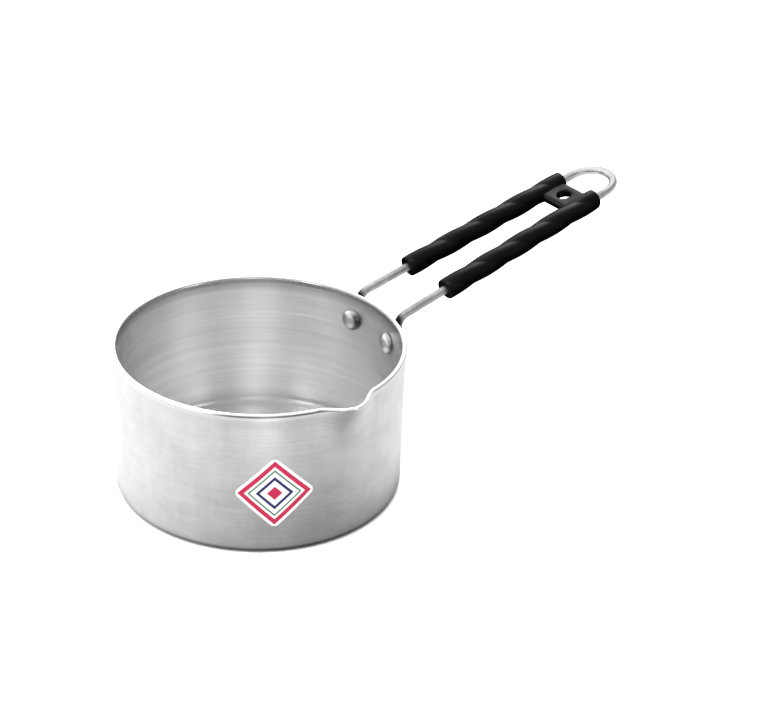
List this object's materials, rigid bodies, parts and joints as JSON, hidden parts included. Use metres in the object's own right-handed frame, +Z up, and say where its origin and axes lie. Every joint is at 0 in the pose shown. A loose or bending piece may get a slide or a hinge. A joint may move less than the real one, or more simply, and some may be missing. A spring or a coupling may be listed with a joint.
{
  "type": "saucepan",
  "caption": "Straight-walled aluminium saucepan with a pressed pouring lip and a riveted bent-wire handle that carries a black twisted plastic grip.",
  "frame": {"origin": "centre of the flat underside of the base, where the pan stands", "axes": "+Z up out of the pan's mouth, +X along the handle, -Y towards the pouring lip"},
  "size_m": [0.3305, 0.1673, 0.1263],
  "materials": {
    "pan_aluminium": "spun satin, bright rim",
    "handle_steel": "bright drawn wire",
    "grip_plastic": "black, half gloss",
    "rivet_aluminium": "bright"
  },
  "bodies": {
    "root": {"pan_body": "pan_aluminium", "handle_wire": "handle_steel", "twin_grip": "grip_plastic", "rivet_left": "rivet_aluminium", "rivet_right": "rivet_aluminium"}
  },
  "joints": []
}
